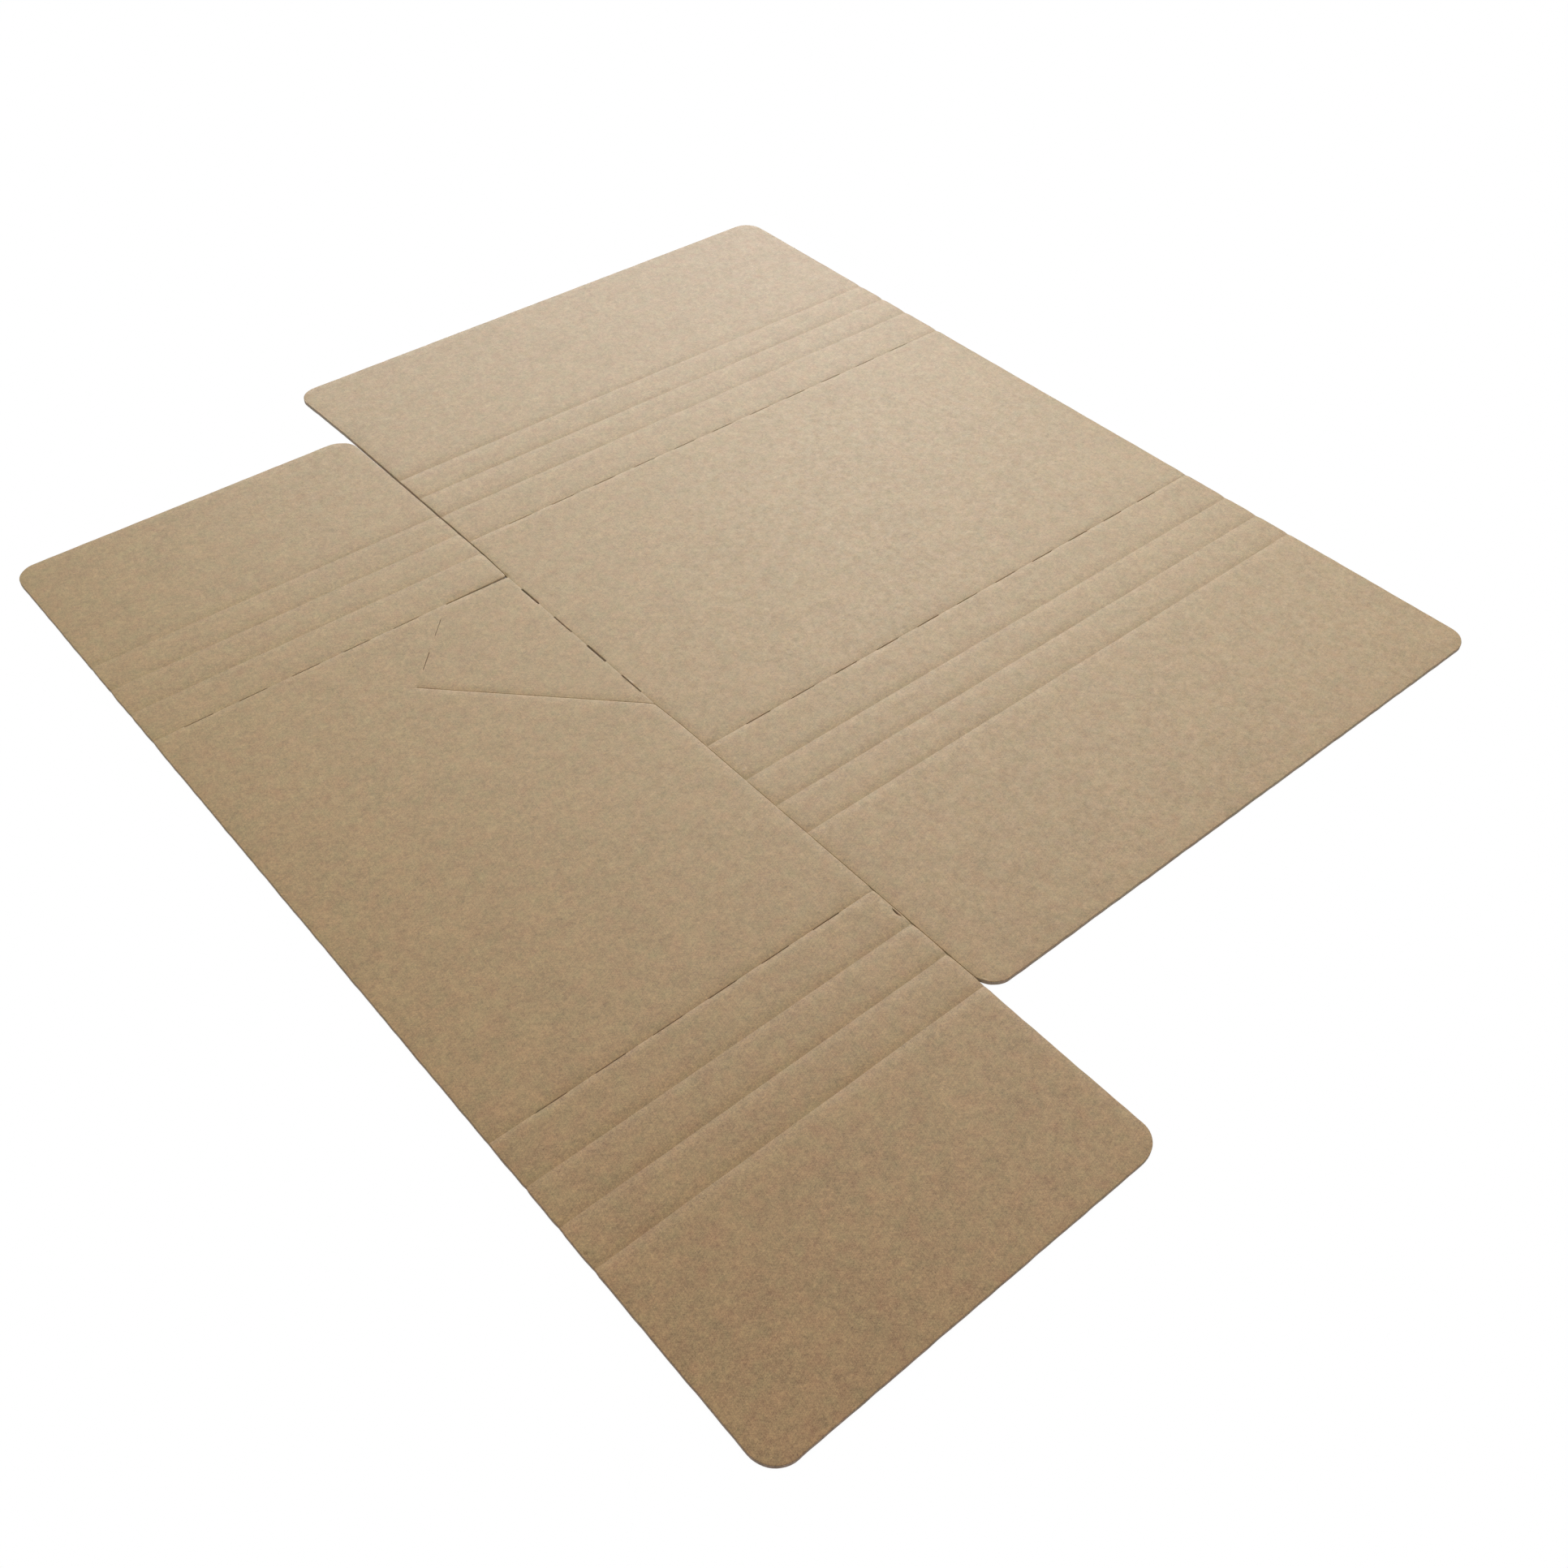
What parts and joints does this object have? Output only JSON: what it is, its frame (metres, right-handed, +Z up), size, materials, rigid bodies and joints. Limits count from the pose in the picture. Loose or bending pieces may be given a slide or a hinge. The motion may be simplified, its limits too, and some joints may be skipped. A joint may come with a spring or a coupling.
{
  "type": "flattened cardboard wrap mailer",
  "caption": "Flat die-cut blank of a cardboard wrap mailer: a narrow and a wide strip joined by a slanted tab, with cut-crease folds, plain creases and rounded end flaps.",
  "frame": {"origin": "middle of the box around the blank, on its underside", "axes": "+Z up out of the sheet, towards its creased face; +Y along the strips, from the front end of the narrow strip to the back end of the wide one; +X from the narrow strip to the wide one"},
  "size_m": [0.3824, 0.4676, 0.0015],
  "materials": {
    "kraft_board": "matt brown kraft, faintly mottled"
  },
  "bodies": {
    "root": {"blank": "kraft_board"}
  },
  "joints": []
}
